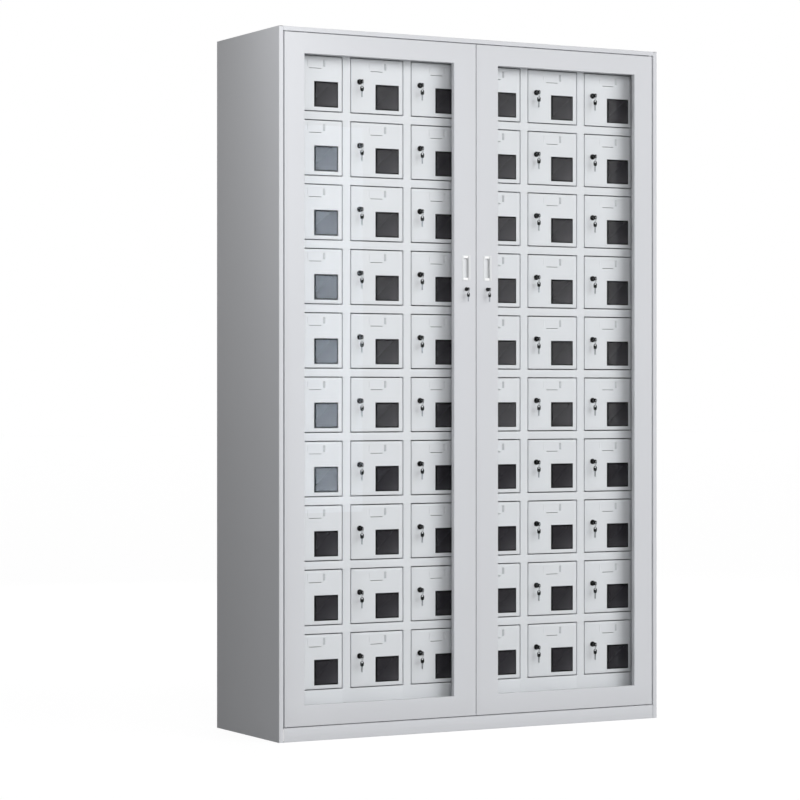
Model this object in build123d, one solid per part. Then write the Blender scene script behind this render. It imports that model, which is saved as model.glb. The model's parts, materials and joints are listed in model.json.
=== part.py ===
from build123d import *
import os

# A steel phone locker cabinet: sixty small lockers behind two framed glass doors.
# X runs across the front, Y from front to back and Z up, all in millimetres.
# The origin is on the floor, at the middle of the cabinet with its outer keys.
# Depths are measured from the front plane of the outer doors into the cabinet.

# Grid of lockers
columns = 6
rows = 10
opening_width = 162.3
opening_height = 149.9
post_width = 24.4
end_post_width = 52.1
rail_height = 22.8
bottom_rail_top = 129.4
top_rail_height = 66.4

# Casing
casing_depth = 390.0
casing_sheet = 1.0
side_flange = 14.0
top_flange = 12.0
rear_flange = 12.0
flange_return = 20.0
plinth_height = 38.0

# Locker front frame and walls
locker_setback = 48.7
frame_sheet = 1.0
frame_return = 14.0
wall_sheet = 1.0

# Locker doors
locker_gap = 2.0
leaf_sheet = 1.0
leaf_return = 12.0
leaf_corner = 2.0
leaf_pin_inset = 6.0
leaf_pin_depth = 4.0
leaf_pin_radius = 1.5
leaf_pin_engagement = 4.0
leaf_pin_head = 2.0
window_left = 77.3
window_width = 70.5
window_top_drop = 70.0
window_height = 67.0
pane_overlap = 5.0
pane_thickness = 2.0
locker_lock_inset = 27.5
locker_lock_drop = 64.4
label_lug_proud = 1.5
label_left = 53.6
label_width = 50.4
label_top_drop = 12.6
label_height = 22.4
label_lug_width = 2.2
label_side_length = 14.5
label_bottom_length = 39.0

# Outer doors
door_gap = 2.0
door_thickness = 18.0
door_sheet = 1.0
hinge_stile = 60.0
lock_stile = 69.0
top_rail = 55.0
bottom_rail = 56.0
centre_gap_shift = 3.8
door_pin_inset = 6.0
door_pin_depth = 4.0
door_pin_radius = 2.5
door_pin_engagement = 12.0
door_pin_head = 3.0
washer_radius = 5.0
glass_thickness = 4.0
glass_edge_room = 3.0
rebate_width = 12.0
rebate_return = 10.0
seal_thickness = 1.5
bead_width = 10.0

# Flush pulls
handle_height_on_door = 1270.0
handle_width = 27.0
handle_length = 70.0
handle_rim = 2.0
handle_proud = 1.2
handle_depth = 13.0
handle_wall = 1.5
handle_corner = 3.0

# Cam locks, the same on the lockers and on the outer doors
left_lock_inset = 30.5
right_lock_inset = 35.0
lock_height_on_door = 1212.0
bezel_radius = 7.5
bezel_proud = 3.0
case_radius = 6.0
plug_radius = 4.45
nut_radius = 9.5
nut_thickness = 3.0
cam_width = 11.0
cam_thickness = 1.5
cam_hook = 5.5
cam_run = 1.3
key_slot_room = 0.1

# Keys and their rings
bow_length = 15.0
bow_width = 11.0
bow_thickness = 1.8
bow_corner = 4.5
bow_hole_radius = 1.9
bow_hole_from_end = 3.4
blade_length = 15.0
blade_width = 3.6
blade_thickness = 1.4
blade_showing = 4.5
ring_wire = 0.4
seat_gap = 0.3
ring_turn = 45.0
spare_key_drop = 11.7

# Strike for the outer locks
strike_sheet = 1.6
strike_foot = 20.0
strike_height = 40.0
strike_reach = 11.8
strike_behind_door = 1.8
cam_tip_from_web = 5.0

# Clearances
running_clearance = 0.05
hole_clearance = 0.1

# Sizes that follow from the ones above
column_pitch = opening_width + post_width
row_pitch = opening_height + rail_height
grid_width = columns * column_pitch - post_width
grid_height = rows * row_pitch - rail_height
casing_width = grid_width + 2 * end_post_width
casing_height = bottom_rail_top + grid_height + top_rail_height
key_reach = bezel_proud + blade_showing + bow_length
front = (key_reach - casing_depth) / 2
half_width = casing_width / 2
inner_half_width = half_width - casing_sheet
back_panel_face = casing_depth - 2 * casing_sheet
locker_back = locker_setback + frame_return
grid_left = -grid_width / 2
column_lefts = [grid_left + column * column_pitch for column in range(columns)]
row_bottoms = [bottom_rail_top + row * row_pitch for row in range(rows)]
turning_row = rows // 2
leaf_width = opening_width - 2 * locker_gap
leaf_height = opening_height - 2 * locker_gap
door_bottom = plinth_height + door_gap
door_top = casing_height - top_flange - door_gap
door_outer_edge = half_width - side_flange - door_gap
left_lock_x = centre_gap_shift - door_gap / 2 - left_lock_inset
right_lock_x = centre_gap_shift + door_gap / 2 + right_lock_inset
strike_front = door_thickness + strike_behind_door
door_cam_depth = strike_front + strike_sheet + cam_run
locker_cam_depth = locker_back + cam_run
locker_cam_reach = locker_lock_inset + cam_hook
ring_forward = key_reach - bow_hole_from_end
ring_radius = (spare_key_drop + bow_hole_from_end - bow_width / 2 - seat_gap - ring_wire) / 2


def block(x, depth, z):
    """A box between two values of X, two depths and two heights."""
    size = (x[1] - x[0], depth[1] - depth[0], z[1] - z[0])
    middle = ((x[0] + x[1]) / 2, front + (depth[0] + depth[1]) / 2, (z[0] + z[1]) / 2)
    return Pos(*middle) * Box(*size)


def upright(x, depth, z, radius):
    """A cylinder that stands between two heights."""
    return Pos(x, front + depth, (z[0] + z[1]) / 2) * Cylinder(radius, z[1] - z[0])


def spindle(x, depth, z, radius):
    """A cylinder that runs from one depth to another."""
    middle = Pos(x, front + (depth[0] + depth[1]) / 2, z)
    return middle * Rot(90, 0, 0) * Cylinder(radius, depth[1] - depth[0])


def write(node, pieces):
    """Write the solids of one named piece to its own file."""
    solids = [solid for piece in pieces for solid in piece.solids()]
    export_step(Compound(solids), f"parts/{node}.step")


def side_panel(side):
    """The left side panel, or its mirror image: a sheet with folded front and rear flanges."""
    flange_top = casing_height - casing_sheet
    sheet = block((-half_width, -inner_half_width), (0, casing_depth), (0, casing_height))
    flange_x = (-inner_half_width, -half_width + side_flange)
    flange = block(flange_x, (0, casing_sheet), (0, flange_top))
    return_x = (flange_x[1] - casing_sheet, flange_x[1])
    inner_return = block(return_x, (0, flange_return), (0, flange_top))
    rear_x = (-inner_half_width, -half_width + rear_flange)
    rear = block(rear_x, (casing_depth - casing_sheet, casing_depth), (0, flange_top))
    panel = sheet + flange + inner_return + rear
    return panel if side < 0 else mirror(panel, about=Plane.YZ)


def top_panel():
    """The lid of the casing, with a hole in its front return for each hinge pin."""
    underside = casing_height - casing_sheet
    lid = block((-inner_half_width, inner_half_width), (0, casing_depth), (underside, casing_height))
    flange_x = (side_flange - half_width, half_width - side_flange)
    flange_bottom = casing_height - top_flange
    flange = block(flange_x, (0, casing_sheet), (flange_bottom, underside))
    inner_return = block(flange_x, (0, flange_return), (flange_bottom, flange_bottom + casing_sheet))
    rear_x = (rear_flange - half_width, half_width - rear_flange)
    rear = block(rear_x, (casing_depth - casing_sheet, casing_depth), (flange_bottom, underside))
    panel = lid + flange + inner_return + rear
    for x in door_pin_xs():
        panel -= upright(x, door_pin_depth, (flange_bottom, flange_bottom + casing_sheet),
                         door_pin_radius + hole_clearance)
    return panel


def base_panel():
    """The floor of the cabinet, notched round the side flanges and drilled for the hinge pins."""
    heights = (plinth_height - casing_sheet, plinth_height)
    panel = block((-inner_half_width, inner_half_width), (0, back_panel_face), heights)
    for side in (-1, 1):
        notch_x = sorted((side * half_width, side * (half_width - side_flange)))
        panel -= block(notch_x, (0, flange_return), heights)
    for x in door_pin_xs():
        panel -= upright(x, door_pin_depth, heights, door_pin_radius + hole_clearance)
    return panel


def plinth_rails():
    """Two channels under the floor, at the front and at the back, that stand on the ground."""
    top = plinth_height - casing_sheet
    span = (side_flange - half_width, half_width - side_flange)
    rails = []
    for web, flange in (
        ((0, casing_sheet), (0, flange_return)),
        ((back_panel_face - casing_sheet, back_panel_face),
         (back_panel_face - flange_return, back_panel_face)),
    ):
        rail = block(span, web, (0, top))
        rail += block(span, flange, (0, casing_sheet))
        rail += block(span, flange, (top - casing_sheet, top))
        rails.append(rail)
    for x in door_pin_xs():
        rails[0] -= upright(x, door_pin_depth, (top - casing_sheet, top),
                            door_pin_radius + hole_clearance)
    return rails


def back_panel():
    heights = (0, casing_height - casing_sheet)
    depths = (back_panel_face, casing_depth - casing_sheet)
    return block((-inner_half_width, inner_half_width), depths, heights)


def post_spans():
    """The left and right edges of every upright of the locker front."""
    spans = [(-inner_half_width, grid_left)]
    for left in column_lefts[1:]:
        spans.append((left - post_width, left))
    spans.append((-grid_left, inner_half_width))
    return spans


def locker_posts():
    """Channels between the columns, open at the back."""
    heights = (plinth_height, casing_height - casing_sheet)
    posts = []
    for left, right in post_spans():
        outside = block((left, right), (locker_setback, locker_back), heights)
        inside = block((left + frame_sheet, right - frame_sheet),
                       (locker_setback + frame_sheet, locker_back), heights)
        posts.append(outside - inside)
    return posts


def rail_channel(bottom, top, pin_in_bottom, pin_in_top):
    """A channel across the first column, with a hole in each return that holds a hinge pin."""
    left = column_lefts[0]
    right = left + opening_width
    channel = block((left, right), (locker_setback, locker_back), (bottom, top))
    channel -= block((left, right), (locker_setback + frame_sheet, locker_back),
                     (bottom + frame_sheet, top - frame_sheet))
    pin_x = right - locker_gap - leaf_pin_inset
    pin_depth = locker_setback + leaf_pin_depth
    radius = leaf_pin_radius + hole_clearance
    if pin_in_bottom:
        channel -= upright(pin_x, pin_depth, (bottom, bottom + frame_sheet), radius)
    if pin_in_top:
        channel -= upright(pin_x, pin_depth, (top - frame_sheet, top), radius)
    return channel


def locker_rails():
    """The cross members of the locker front, in every column."""
    grid_top = bottom_rail_top + grid_height
    first = [
        rail_channel(plinth_height, bottom_rail_top, False, True),
        rail_channel(grid_top, casing_height - casing_sheet, True, False),
    ]
    middle = rail_channel(row_bottoms[0] + opening_height, row_bottoms[1], True, True)
    for row in range(rows - 1):
        first.append(Pos(0, 0, row * row_pitch) * middle)
    rails = []
    for column in range(columns):
        rails += [Pos(column * column_pitch, 0, 0) * rail for rail in first]
    return rails


def partition_xs():
    """The middle of every upright wall, one behind each post."""
    first = grid_left - post_width / 2
    return [first + index * column_pitch for index in range(columns + 1)]


def locker_partitions():
    heights = (plinth_height, casing_height - casing_sheet)
    depths = (locker_setback + frame_sheet, back_panel_face)
    half = wall_sheet / 2
    return [block((x - half, x + half), depths, heights) for x in partition_xs()]


def locker_shelves():
    """One shelf below each locker and one above the top row, in every column."""
    half = wall_sheet / 2
    depths = (locker_back, back_panel_face)
    shelves = []
    for left, right in zip(partition_xs()[:-1], partition_xs()[1:]):
        for index in range(rows + 1):
            z = bottom_rail_top - rail_height / 2 + index * row_pitch
            shelves.append(block((left + half, right - half), depths, (z - half, z + half)))
    return shelves


def locker_hinge_pins():
    """A pin above and a pin below each locker door."""
    pin_x = column_lefts[0] + opening_width - locker_gap - leaf_pin_inset
    depth = locker_setback + leaf_pin_depth
    outside = frame_sheet + leaf_pin_head
    inside = locker_gap + leaf_sheet + leaf_pin_engagement
    bottom = row_bottoms[0]
    top = bottom + opening_height
    lower = upright(pin_x, depth, (bottom - outside, bottom + inside), leaf_pin_radius)
    upper = upright(pin_x, depth, (top - inside, top + outside), leaf_pin_radius)
    pins = []
    for column in range(columns):
        for row in range(rows):
            place = Pos(column * column_pitch, 0, row * row_pitch)
            pins += [place * lower, place * upper]
    return pins


def door_pin_xs():
    """The hinge lines of the left and the right outer door."""
    x = door_outer_edge - door_pin_inset
    return (-x, x)


def door_hinge_pins():
    """The pins that the outer doors turn on, through the base and the top flange."""
    inside = door_gap + door_sheet + door_pin_engagement
    outside = 2 * casing_sheet + door_pin_head
    flange_bottom = casing_height - top_flange
    lower = (plinth_height - outside, plinth_height + inside)
    upper = (flange_bottom - inside, flange_bottom + casing_sheet + door_pin_head)
    return [upright(x, door_pin_depth, span, door_pin_radius)
            for x in door_pin_xs() for span in (lower, upper)]


def door_hinge_washers():
    """Washers that keep the outer doors off the base and off the top flange."""
    thickness = door_gap - seat_gap
    flange_bottom = casing_height - top_flange
    spans = ((plinth_height, plinth_height + thickness), (flange_bottom - thickness, flange_bottom))
    washers = []
    for x in door_pin_xs():
        for span in spans:
            disc = upright(x, door_pin_depth, span, washer_radius)
            washers.append(disc - upright(x, door_pin_depth, span, door_pin_radius + running_clearance))
    return washers


def lock_strike():
    """The bracket on the middle post that both outer locks catch behind."""
    heights = (lock_height_on_door - strike_height / 2, lock_height_on_door + strike_height / 2)
    foot = block((-strike_foot / 2, strike_foot / 2),
                 (locker_setback - strike_sheet, locker_setback), heights)
    web = block((-strike_sheet / 2, strike_sheet / 2), (strike_front, locker_setback), heights)
    lips = block((-strike_reach, strike_reach), (strike_front, strike_front + strike_sheet), heights)
    return foot + web + lips


def leaf_blank():
    """The pressed door of the bottom left locker, before it is copied over the grid."""
    left = column_lefts[0] + locker_gap
    bottom = row_bottoms[0] + locker_gap
    right = left + leaf_width
    top = bottom + leaf_height
    depths = (locker_setback, locker_setback + leaf_return)
    outside = block((left, right), depths, (bottom, top))
    outside = fillet(outside.edges().filter_by(Axis.Y), leaf_corner)
    inside = block((left + leaf_sheet, right - leaf_sheet), (depths[0] + leaf_sheet, depths[1]),
                   (bottom + leaf_sheet, top - leaf_sheet))
    leaf = outside - inside
    opening_top = row_bottoms[0] + opening_height
    window_x = column_lefts[0] + window_left
    window_top = opening_top - window_top_drop
    leaf -= block((window_x, window_x + window_width), (depths[0], depths[0] + leaf_sheet),
                  (window_top - window_height, window_top))
    lock_x = column_lefts[0] + locker_lock_inset
    leaf -= spindle(lock_x, (depths[0], depths[0] + leaf_sheet), opening_top - locker_lock_drop,
                    case_radius + hole_clearance)
    pin_x = right - leaf_pin_inset
    pin_depth = locker_setback + leaf_pin_depth
    leaf -= upright(pin_x, pin_depth, (bottom, top), leaf_pin_radius + running_clearance)
    return leaf + label_lugs(column_lefts[0], opening_top)


def label_lugs(opening_left, opening_top):
    """Three pressed lips that hold a name card: one at each side and one below."""
    left = opening_left + label_left
    right = left + label_width
    top = opening_top - label_top_drop
    bottom = top - label_height
    middle = (left + right) / 2
    depths = (locker_setback - label_lug_proud, locker_setback)
    side_heights = (top - label_side_length, top)
    lugs = block((left, left + label_lug_width), depths, side_heights)
    lugs += block((right - label_lug_width, right), depths, side_heights)
    bottom_x = (middle - label_bottom_length / 2, middle + label_bottom_length / 2)
    lugs += block(bottom_x, depths, (bottom, bottom + label_lug_width))
    return lugs


def window_pane():
    """The pane behind the window of the bottom left locker."""
    left = column_lefts[0] + window_left - pane_overlap
    top = row_bottoms[0] + opening_height - window_top_drop + pane_overlap
    face = locker_setback + leaf_sheet
    return block((left, left + window_width + 2 * pane_overlap), (face, face + pane_thickness),
                 (top - window_height - 2 * pane_overlap, top))


def key():
    """A flat key that hangs bow up, with the top of its bow at the origin."""
    bow = Pos(0, 0, -bow_length / 2) * Box(bow_width, bow_thickness, bow_length)
    bow = fillet(bow.edges().filter_by(Axis.Y), bow_corner)
    bow -= Pos(0, 0, -bow_hole_from_end) * Rot(90, 0, 0) * Cylinder(bow_hole_radius, bow_thickness)
    blade = Pos(0, 0, -bow_length - blade_length / 2) * Box(blade_width, blade_thickness, blade_length)
    return bow + blade


def inserted_key(face):
    """A key in a lock on the Y axis: its bow stands upright in front of the face."""
    return Pos(0, front + face - key_reach, 0) * Rot(0, 90, 0) * Rot(90, 0, 0) * key()


def spare_key(face):
    """The second key, which hangs below the first on a small ring."""
    depth = face - ring_forward
    wire = Rot(0, 0, ring_turn) * Rot(90, 0, 0) * Torus(ring_radius, ring_wire)
    ring_z = -spare_key_drop - bow_hole_from_end + ring_radius
    return [Pos(0, front + depth, ring_z) * wire, Pos(0, front + depth, -spare_key_drop) * key()]


def lock_case(face, back, cam_depth):
    """The fixed shell of a lock on the Y axis and the nut behind the sheet that it is fixed to."""
    end = cam_depth - cam_run
    shell = spindle(0, (face - bezel_proud, face), 0, bezel_radius)
    shell += spindle(0, (face, end), 0, case_radius)
    shell -= spindle(0, (face - bezel_proud, end), 0, plug_radius + running_clearance)
    nut = Pos(0, front + back + nut_thickness, 0) * Rot(90, 0, 0) * extrude(
        RegularPolygon(nut_radius, 6) - Circle(case_radius + running_clearance), nut_thickness)
    return [shell, nut]


def lock_plug(face, cam_depth):
    """The barrel that turns with the key, slotted for its blade."""
    plug = spindle(0, (face - bezel_proud, cam_depth), 0, plug_radius)
    half_slot = blade_thickness / 2 + key_slot_room
    half_width_of_slot = blade_width / 2 + key_slot_room
    slot_end = face - key_reach + bow_length + blade_length + key_slot_room
    return plug - block((-half_slot, half_slot), (face - bezel_proud, slot_end),
                        (-half_width_of_slot, half_width_of_slot))


def lock_cam(cam_depth, reach):
    """The flat tongue behind a lock, which hangs down when the lock is open."""
    half = cam_width / 2
    tongue = block((-half, half), (cam_depth, cam_depth + cam_thickness), (-reach, half))
    return fillet(tongue.edges().filter_by(Axis.Y), half * 0.6)


def locker_lock_places():
    """The lock axis of every locker, by column and row."""
    return [[(left + locker_lock_inset, bottom + opening_height - locker_lock_drop)
             for bottom in row_bottoms] for left in column_lefts]


def door_frame(outer_x, inner_x, opening_x, pin_x, lock_x):
    """Four welded members of an outer door: two stiles of full height and two rails between them."""
    opening_z = (door_bottom + bottom_rail, door_top - top_rail)
    hinge = stile(outer_x, opening_x[0])
    lock = stile(inner_x, opening_x[1])
    hinge -= upright(pin_x, door_pin_depth, (door_bottom, door_bottom + door_sheet),
                     door_pin_radius + running_clearance)
    hinge -= upright(pin_x, door_pin_depth, (door_top - door_sheet, door_top),
                     door_pin_radius + running_clearance)
    lock -= spindle(lock_x, (0, door_thickness), lock_height_on_door, case_radius + hole_clearance)
    cup_half = handle_width / 2 - handle_rim + hole_clearance
    cup_half_length = handle_length / 2 - handle_rim + hole_clearance
    lock -= block((lock_x - cup_half, lock_x + cup_half), (0, door_sheet),
                  (handle_height_on_door - cup_half_length, handle_height_on_door + cup_half_length))
    span = sorted(opening_x)
    return [hinge, lock, rail(span, door_bottom, opening_z[0]), rail(span, door_top, opening_z[1])]


def stile(edge, opening_edge):
    """A hollow upright with a rebate for the glass along its opening edge."""
    inward = 1 if opening_edge > edge else -1
    web = opening_edge - inward * rebate_width
    heights = (door_bottom, door_top)
    hollow_heights = (door_bottom + door_sheet, door_top - door_sheet)
    box = block(sorted((edge, web)), (0, door_thickness), heights)
    box -= block(sorted((edge + inward * door_sheet, web - inward * door_sheet)),
                 (door_sheet, door_thickness - door_sheet), hollow_heights)
    box += block(sorted((web, opening_edge)), (0, door_sheet), heights)
    opening_heights = (door_bottom + bottom_rail, door_top - top_rail)
    return box + block(sorted((opening_edge - inward * door_sheet, opening_edge)),
                       (0, rebate_return), opening_heights)


def rail(span, edge, opening_edge):
    """A hollow cross member with the same rebate along its opening edge."""
    inward = 1 if opening_edge > edge else -1
    web = opening_edge - inward * rebate_width
    box = block(span, (0, door_thickness), sorted((edge, web)))
    box -= block(span, (door_sheet, door_thickness - door_sheet),
                 sorted((edge + inward * door_sheet, web - inward * door_sheet)))
    box += block(span, (0, door_sheet), sorted((web, opening_edge)))
    return box + block(span, (0, rebate_return),
                       sorted((opening_edge - inward * door_sheet, opening_edge)))


def ring_strips(x, z, depths, width):
    """Four strips round a rectangle, inside its edges."""
    return [
        block((x[0], x[0] + width), depths, z),
        block((x[1] - width, x[1]), depths, z),
        block((x[0] + width, x[1] - width), depths, (z[0], z[0] + width)),
        block((x[0] + width, x[1] - width), depths, (z[1] - width, z[1])),
    ]


def glazing(opening_x):
    """The glass of an outer door, the soft seal in front of it and the beads behind it."""
    span = sorted(opening_x)
    room = rebate_width - glass_edge_room
    glass_x = (span[0] - room, span[1] + room)
    glass_z = (door_bottom + bottom_rail - room, door_top - top_rail + room)
    glass_front = rebate_return + seal_thickness
    glass_back = glass_front + glass_thickness
    glass = block(glass_x, (glass_front, glass_back), glass_z)
    seal = block(glass_x, (rebate_return, glass_front), glass_z)
    seal -= block(span, (rebate_return, glass_front), (glass_z[0] + room, glass_z[1] - room))
    bead_x = (span[0] - rebate_width, span[1] + rebate_width)
    bead_z = (glass_z[0] - glass_edge_room, glass_z[1] + glass_edge_room)
    beads = ring_strips(bead_x, bead_z, (glass_back, door_thickness), bead_width)
    return glass, seal, beads


def pull_handle(x):
    """A flush cup that is pushed into the lock stile, open to the front."""
    z = handle_height_on_door
    half = handle_width / 2
    half_length = handle_length / 2
    rim = block((x - half, x + half), (-handle_proud, 0), (z - half_length, z + half_length))
    rim = fillet(rim.edges().filter_by(Axis.Y), handle_corner)
    cup_half = half - handle_rim
    cup_half_length = half_length - handle_rim
    cup = block((x - cup_half, x + cup_half), (0, handle_depth),
                (z - cup_half_length, z + cup_half_length))
    hollow_half = cup_half - handle_wall
    hollow_half_length = cup_half_length - handle_wall
    hollow = block((x - hollow_half, x + hollow_half), (-handle_proud, handle_depth - handle_wall),
                   (z - hollow_half_length, z + hollow_half_length))
    return rim + cup - hollow


def write_casing():
    write("side_panel_left", [side_panel(-1)])
    write("side_panel_right", [side_panel(1)])
    write("top_panel", [top_panel()])
    write("base_panel", [base_panel()])
    write("plinth_rails", plinth_rails())
    write("back_panel", [back_panel()])
    write("locker_posts", locker_posts())
    write("locker_rails", locker_rails())
    write("locker_partitions", locker_partitions())
    write("locker_shelves", locker_shelves())
    write("locker_hinge_pins", locker_hinge_pins())
    write("door_hinge_pins", door_hinge_pins())
    write("door_hinge_washers", door_hinge_washers())
    write("lock_strike", [lock_strike()])


def write_outer_door(side, name, lock_x):
    outer_x = side * door_outer_edge
    inner_x = centre_gap_shift + side * door_gap / 2
    opening_x = (outer_x - side * hinge_stile, inner_x + side * lock_stile)
    pin_x = outer_x - side * door_pin_inset
    glass, seal, beads = glazing(opening_x)
    lock_axis = Pos(lock_x, 0, lock_height_on_door)
    cam_reach = abs(lock_x) - cam_tip_from_web
    write(f"{name}_door_frame", door_frame(outer_x, inner_x, opening_x, pin_x, lock_x))
    write(f"{name}_door_glass", [glass])
    write(f"{name}_door_seal", [seal])
    write(f"{name}_door_beads", beads)
    write(f"{name}_door_handle", [pull_handle(lock_x)])
    case = lock_case(0, door_thickness, door_cam_depth)
    write(f"{name}_door_lock_case", [lock_axis * piece for piece in case])
    write(f"{name}_door_spare_key", [lock_axis * piece for piece in spare_key(0)])
    write(f"{name}_door_lock_plug", [lock_axis * lock_plug(0, door_cam_depth)])
    write(f"{name}_door_lock_cam", [lock_axis * lock_cam(door_cam_depth, cam_reach)])
    write(f"{name}_door_lock_key", [lock_axis * inserted_key(0)])


def write_locker_columns():
    leaf = leaf_blank()
    pane = window_pane()
    case = lock_case(locker_setback, locker_setback + leaf_sheet, locker_cam_depth)
    fixed = case + spare_key(locker_setback)
    turning = [
        lock_plug(locker_setback, locker_cam_depth),
        lock_cam(locker_cam_depth, locker_cam_reach),
        inserted_key(locker_setback),
    ]
    for column, places in enumerate(locker_lock_places()):
        name = f"column_{column + 1}"
        steps = [Pos(column * column_pitch, 0, row * row_pitch) for row in range(rows)]
        write(f"{name}_doors", [step * leaf for step in steps])
        write(f"{name}_windows", [step * pane for step in steps])
        locks = []
        for row, (x, z) in enumerate(places):
            lock_axis = Pos(x, 0, z)
            locks += [lock_axis * piece for piece in fixed]
            if row != turning_row:
                locks += [lock_axis * piece for piece in turning]
        write(f"{name}_locks", locks)
        x, z = places[turning_row]
        write(f"{name}_turning_lock", [Pos(x, 0, z) * piece for piece in turning])


os.makedirs("parts", exist_ok=True)
write_casing()
write_outer_door(-1, "left", left_lock_x)
write_outer_door(1, "right", right_lock_x)
write_locker_columns()
print(f"casing {casing_width:.1f} x {casing_depth:.1f} x {casing_height:.1f} mm, keys {key_reach:.1f} mm in front")
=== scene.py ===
import bpy
import bmesh
import json
import math
from mathutils import Matrix, Vector


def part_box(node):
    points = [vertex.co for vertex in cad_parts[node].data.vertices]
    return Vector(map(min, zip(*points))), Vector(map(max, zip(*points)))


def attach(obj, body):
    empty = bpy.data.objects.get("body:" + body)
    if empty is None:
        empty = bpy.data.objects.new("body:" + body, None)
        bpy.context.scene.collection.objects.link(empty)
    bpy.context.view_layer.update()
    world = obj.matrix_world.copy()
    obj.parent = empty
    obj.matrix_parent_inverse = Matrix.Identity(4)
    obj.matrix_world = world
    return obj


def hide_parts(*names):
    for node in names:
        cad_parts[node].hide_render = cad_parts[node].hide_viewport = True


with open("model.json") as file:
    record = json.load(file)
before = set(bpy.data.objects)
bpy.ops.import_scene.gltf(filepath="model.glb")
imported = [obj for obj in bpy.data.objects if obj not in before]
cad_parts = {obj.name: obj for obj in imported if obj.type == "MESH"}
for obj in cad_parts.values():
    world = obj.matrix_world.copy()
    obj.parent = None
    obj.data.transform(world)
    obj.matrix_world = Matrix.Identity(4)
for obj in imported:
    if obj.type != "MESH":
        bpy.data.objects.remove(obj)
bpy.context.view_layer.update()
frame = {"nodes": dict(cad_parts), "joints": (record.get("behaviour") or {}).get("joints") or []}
mm = 0.001
near = 1e-6  # in metres: places closer than this count as one
planeNear = 1e-7  # and points closer than this to a cutting plane count as on it
quarterTurn = math.radians(90)
fullTurn = math.radians(360)
turnX = Matrix.Rotation(quarterTurn, 3, "X")
edgeRules = {
    "foldAngle": 40,  # in degrees: an edge sharper than this is a fold to round
    "sharpAngle": 31,  # and one sharper than this stays crisp in the shading
    "straight": 0.999,  # the share of an edge's length that runs along the axis it follows
}
facets = {"corner": 3, "bend": 2, "chamfer": 1}  # how finely edges are rounded

# From the frame: the lock axes, the front plane of the casing and the plane of the locker doors
lockPlaces = {joint["name"]: Vector(joint["pos_m"]) for joint in frame["joints"]}
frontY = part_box("side_panel_left")[0][1]
leafY = lockPlaces["column_1_lock_turn"][1]

grid = {
    "rows": 10,
    "columns": 6,
    "turningRow": 5,  # counted from the bottom: the row whose locks turn
    "leafHeight": 145.9 * mm,
    "gap": 2.0 * mm,  # between a locker door and the opening round it
}
columnNames = [f"column_{index + 1}" for index in range(grid["columns"])]
doorsLow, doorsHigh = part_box("column_1_doors")
rowPitch = (doorsHigh[2] - doorsLow[2] - grid["leafHeight"]) / (grid["rows"] - 1)


# Shape helpers

def vertsIn(geometry):
    return [part for part in geometry if isinstance(part, bmesh.types.BMVert)]


def edgesIn(geometry):
    return [part for part in geometry if isinstance(part, bmesh.types.BMEdge)]


def edgesRound(verts):
    return list({edge for vert in verts for edge in vert.link_edges})


def facesRound(verts):
    return list({face for vert in verts for face in vert.link_faces})


def depthEdges(verts):
    # the edges round these points that run from front to back
    edges = []
    for edge in edgesRound(verts):
        run = edge.verts[1].co - edge.verts[0].co
        if abs(run.y) > edgeRules["straight"] * run.length:
            edges.append(edge)
    return edges


def newVerts(bm, known):
    return [vert for vert in bm.verts if vert not in known]


def liesAt(part, axis, place):
    # whether all of an edge or a face lies at that place on an axis
    return all(abs(vert.co[axis] - place) < near for vert in part.verts)


def facesAt(bm, y):
    return [face for face in bm.faces if liesAt(face, 1, y)]


def bordersOf(rect):
    # (left, right, bottom, top) as pairs of an axis and the place on it
    return tuple(zip((0, 0, 2, 2), rect))


def isFold(edge, degrees):
    return len(edge.link_faces) == 2 and edge.calc_face_angle(0) > math.radians(degrees)


def roundEdges(bm, edges, radius, steps):
    bmesh.ops.bevel(bm, geom=edges, offset=radius, segments=steps, affect="EDGES",
                    profile=0.5, material=-1, clamp_overlap=True)


def roundFolds(bm, y, radius, steps):
    # rounds the sharp edges that lie at y
    edges = [edge for edge in bm.edges if liesAt(edge, 1, y) and isFold(edge, edgeRules["foldAngle"])]
    roundEdges(bm, edges, radius, steps)


def boxShape(bm, low, high, radius=0.0, steps=facets["chamfer"]):
    # a block between two corners
    verts = bmesh.ops.create_cube(bm, size=1.0)["verts"]
    bmesh.ops.scale(bm, vec=[high[axis] - low[axis] for axis in range(3)], verts=verts)
    bmesh.ops.translate(bm, vec=[(high[axis] + low[axis]) / 2 for axis in range(3)], verts=verts)
    if radius:
        roundEdges(bm, edgesRound(verts), radius, steps)
    return verts


def sheetShape(bm, left, right, bottom, top, y):
    # a flat sheet that faces the front
    verts = bmesh.ops.create_grid(bm, x_segments=1, y_segments=1, size=0.5)["verts"]
    bmesh.ops.scale(bm, vec=(right - left, top - bottom, 1.0), verts=verts)
    bmesh.ops.rotate(bm, matrix=turnX, verts=verts)
    bmesh.ops.translate(bm, vec=((left + right) / 2, y, (bottom + top) / 2), verts=verts)


def cutHole(bm, y, hole):
    # opens hole = (left, right, bottom, top) in the faces that lie at y, and returns its rim
    left, right, bottom, top = hole
    for axis, place in bordersOf(hole):
        faces = facesAt(bm, y)
        edges = list({edge for face in faces for edge in face.edges})
        verts = list({vert for face in faces for vert in face.verts})
        normal = Vector((0, 0, 0))
        normal[axis] = 1
        bmesh.ops.bisect_plane(bm, geom=verts + edges + faces, plane_co=place * normal, plane_no=normal,
                               dist=planeNear)
    inside = []
    for face in facesAt(bm, y):
        middle = face.calc_center_median()
        if left < middle.x < right and bottom < middle.z < top:
            inside.append(face)
    rim = [edge for edge in {edge for face in inside for edge in face.edges}
           if sum(face in inside for face in edge.link_faces) == 1]
    bmesh.ops.delete(bm, geom=inside, context="FACES")
    return rim


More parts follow.
